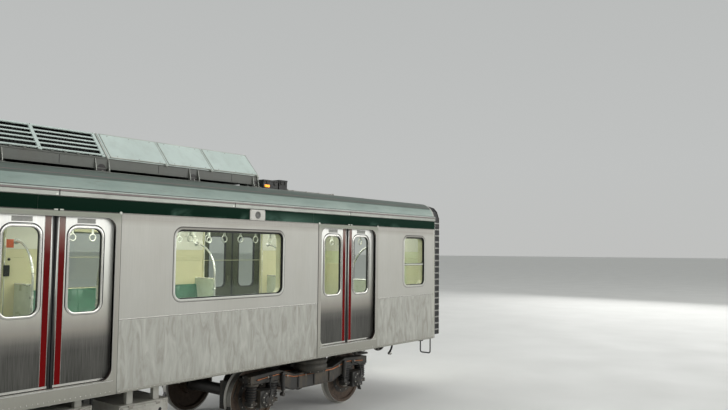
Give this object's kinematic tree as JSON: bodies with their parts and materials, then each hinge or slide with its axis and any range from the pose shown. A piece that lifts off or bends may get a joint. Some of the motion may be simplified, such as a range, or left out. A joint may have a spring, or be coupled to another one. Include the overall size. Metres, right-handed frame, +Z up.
{
  "type": "metro car, intermediate car of a train",
  "caption": "Stainless steel metro car body on bogies, with sliding double doors on each side, roof air-conditioning units and gangways at both ends.",
  "frame": {"origin": "centre of the car's plan, at the height of the lowest point of the wheel flanges; the rail head is 28 mm above it", "axes": "+X along the car towards its front end, +Y to its left side, +Z up"},
  "size_m": [20, 2.974, 4.033],
  "materials": {
    "stainless_skin": "brushed",
    "window_glass": "clear, slightly green",
    "roof_paint": "weathered",
    "roof_unit_paint": "weathered",
    "interior_panel": "satin",
    "seat_shell": "satin",
    "bright_steel": "polished",
    "black_rubber": "matt",
    "dark_frame": "matt",
    "grey_steel": "matt",
    "box_paint": "satin",
    "bogie_paint": "dusty",
    "wheel_steel": "worn bright on the tread",
    "cast_steel": "rough"
  },
  "bodies": {
    "car_body": {"underframe": "grey_steel", "left_side_wall": "stainless_skin", "right_side_wall": "stainless_skin", "side_windows": "window_glass", "roof": "roof_paint", "ceiling": "interior_panel", "end_walls": "stainless_skin", "gangway_bellows": "black_rubber", "gangway_faceplates": "dark_frame", "intercar_barriers": "black_rubber", "bench_seats": "seat_shell", "seat_end_screens": "interior_panel", "grab_poles": "bright_steel", "air_conditioning_units": "roof_unit_paint", "roof_cable_boxes": "dark_frame", "traction_inverter": "box_paint", "auxiliary_converter": "box_paint", "battery_box": "box_paint", "air_compressor": "dark_frame", "line_breaker_box": "box_paint", "air_reservoirs": "dark_frame"},
    "front_bogie": {"front_bogie_frame": "bogie_paint", "front_air_springs": "black_rubber", "front_traction_motors": "bogie_paint"},
    "rear_bogie": {"rear_bogie_frame": "bogie_paint", "rear_air_springs": "black_rubber", "rear_traction_motors": "bogie_paint"},
    "wheelset_1": {"wheelset_1": "wheel_steel"},
    "wheelset_2": {"wheelset_2": "wheel_steel"},
    "wheelset_3": {"wheelset_3": "wheel_steel"},
    "wheelset_4": {"wheelset_4": "wheel_steel"},
    "front_coupler": {"front_coupler": "cast_steel"},
    "rear_coupler": {"rear_coupler": "cast_steel"},
    "left_door_1_front_leaf": {"left_door_1_front_leaf": "stainless_skin"},
    "left_door_1_rear_leaf": {"left_door_1_rear_leaf": "stainless_skin"},
    "left_door_2_front_leaf": {"left_door_2_front_leaf": "stainless_skin"},
    "left_door_2_rear_leaf": {"left_door_2_rear_leaf": "stainless_skin"},
    "left_door_3_front_leaf": {"left_door_3_front_leaf": "stainless_skin"},
    "left_door_3_rear_leaf": {"left_door_3_rear_leaf": "stainless_skin"},
    "left_door_4_front_leaf": {"left_door_4_front_leaf": "stainless_skin"},
    "left_door_4_rear_leaf": {"left_door_4_rear_leaf": "stainless_skin"},
    "right_door_1_front_leaf": {"right_door_1_front_leaf": "stainless_skin"},
    "right_door_1_rear_leaf": {"right_door_1_rear_leaf": "stainless_skin"},
    "right_door_2_front_leaf": {"right_door_2_front_leaf": "stainless_skin"},
    "right_door_2_rear_leaf": {"right_door_2_rear_leaf": "stainless_skin"},
    "right_door_3_front_leaf": {"right_door_3_front_leaf": "stainless_skin"},
    "right_door_3_rear_leaf": {"right_door_3_rear_leaf": "stainless_skin"},
    "right_door_4_front_leaf": {"right_door_4_front_leaf": "stainless_skin"},
    "right_door_4_rear_leaf": {"right_door_4_rear_leaf": "stainless_skin"}
  },
  "joints": [
    {"name": "front_bogie_yaw", "type": "hinge", "parent": "car_body", "child": "front_bogie", "pos_m": [6.9, 0, 0.7], "axis": [0, 0, 1], "range_deg": [-4, 4]},
    {"name": "rear_bogie_yaw", "type": "hinge", "parent": "car_body", "child": "rear_bogie", "pos_m": [-6.9, 0, 0.7], "axis": [0, 0, 1], "range_deg": [-4, 4]},
    {"name": "wheelset_1_spin", "type": "hinge", "parent": "front_bogie", "child": "wheelset_1", "pos_m": [7.95, 0, 0.458], "axis": [0, 1, 0], "continuous": true},
    {"name": "wheelset_2_spin", "type": "hinge", "parent": "front_bogie", "child": "wheelset_2", "pos_m": [5.85, 0, 0.458], "axis": [0, 1, 0], "continuous": true},
    {"name": "wheelset_3_spin", "type": "hinge", "parent": "rear_bogie", "child": "wheelset_3", "pos_m": [-5.85, 0, 0.458], "axis": [0, 1, 0], "continuous": true},
    {"name": "wheelset_4_spin", "type": "hinge", "parent": "rear_bogie", "child": "wheelset_4", "pos_m": [-7.95, 0, 0.458], "axis": [0, 1, 0], "continuous": true},
    {"name": "front_coupler_swing", "type": "hinge", "parent": "car_body", "child": "front_coupler", "pos_m": [9.3, 0, 0.748], "axis": [0, 0, 1], "range_deg": [-8, 8]},
    {"name": "rear_coupler_swing", "type": "hinge", "parent": "car_body", "child": "rear_coupler", "pos_m": [-9.3, 0, 0.748], "axis": [0, 0, 1], "range_deg": [-8, 8]},
    {"name": "left_door_1_front_leaf_slide", "type": "slide", "parent": "car_body", "child": "left_door_1_front_leaf", "axis": [1, 0, 0], "range_m": [0, 0.65]},
    {"name": "left_door_1_rear_leaf_slide", "type": "slide", "parent": "car_body", "child": "left_door_1_rear_leaf", "axis": [-1, 0, 0], "range_m": [0, 0.65]},
    {"name": "left_door_2_front_leaf_slide", "type": "slide", "parent": "car_body", "child": "left_door_2_front_leaf", "axis": [1, 0, 0], "range_m": [0, 0.65]},
    {"name": "left_door_2_rear_leaf_slide", "type": "slide", "parent": "car_body", "child": "left_door_2_rear_leaf", "axis": [-1, 0, 0], "range_m": [0, 0.65]},
    {"name": "left_door_3_front_leaf_slide", "type": "slide", "parent": "car_body", "child": "left_door_3_front_leaf", "axis": [1, 0, 0], "range_m": [0, 0.65]},
    {"name": "left_door_3_rear_leaf_slide", "type": "slide", "parent": "car_body", "child": "left_door_3_rear_leaf", "axis": [-1, 0, 0], "range_m": [0, 0.65]},
    {"name": "left_door_4_front_leaf_slide", "type": "slide", "parent": "car_body", "child": "left_door_4_front_leaf", "axis": [1, 0, 0], "range_m": [0, 0.65]},
    {"name": "left_door_4_rear_leaf_slide", "type": "slide", "parent": "car_body", "child": "left_door_4_rear_leaf", "axis": [-1, 0, 0], "range_m": [0, 0.65]},
    {"name": "right_door_1_front_leaf_slide", "type": "slide", "parent": "car_body", "child": "right_door_1_front_leaf", "axis": [1, 0, 0], "range_m": [0, 0.65]},
    {"name": "right_door_1_rear_leaf_slide", "type": "slide", "parent": "car_body", "child": "right_door_1_rear_leaf", "axis": [-1, 0, 0], "range_m": [0, 0.65]},
    {"name": "right_door_2_front_leaf_slide", "type": "slide", "parent": "car_body", "child": "right_door_2_front_leaf", "axis": [1, 0, 0], "range_m": [0, 0.65]},
    {"name": "right_door_2_rear_leaf_slide", "type": "slide", "parent": "car_body", "child": "right_door_2_rear_leaf", "axis": [-1, 0, 0], "range_m": [0, 0.65]},
    {"name": "right_door_3_front_leaf_slide", "type": "slide", "parent": "car_body", "child": "right_door_3_front_leaf", "axis": [1, 0, 0], "range_m": [0, 0.65]},
    {"name": "right_door_3_rear_leaf_slide", "type": "slide", "parent": "car_body", "child": "right_door_3_rear_leaf", "axis": [-1, 0, 0], "range_m": [0, 0.65]},
    {"name": "right_door_4_front_leaf_slide", "type": "slide", "parent": "car_body", "child": "right_door_4_front_leaf", "axis": [1, 0, 0], "range_m": [0, 0.65]},
    {"name": "right_door_4_rear_leaf_slide", "type": "slide", "parent": "car_body", "child": "right_door_4_rear_leaf", "axis": [-1, 0, 0], "range_m": [0, 0.65]}
  ],
  "couplings": [
    {"joint": "left_door_1_rear_leaf_slide", "follows": "left_door_1_front_leaf_slide", "ratio": 1},
    {"joint": "left_door_2_rear_leaf_slide", "follows": "left_door_2_front_leaf_slide", "ratio": 1},
    {"joint": "left_door_3_rear_leaf_slide", "follows": "left_door_3_front_leaf_slide", "ratio": 1},
    {"joint": "left_door_4_rear_leaf_slide", "follows": "left_door_4_front_leaf_slide", "ratio": 1},
    {"joint": "right_door_1_rear_leaf_slide", "follows": "right_door_1_front_leaf_slide", "ratio": 1},
    {"joint": "right_door_2_rear_leaf_slide", "follows": "right_door_2_front_leaf_slide", "ratio": 1},
    {"joint": "right_door_3_rear_leaf_slide", "follows": "right_door_3_front_leaf_slide", "ratio": 1},
    {"joint": "right_door_4_rear_leaf_slide", "follows": "right_door_4_front_leaf_slide", "ratio": 1}
  ]
}
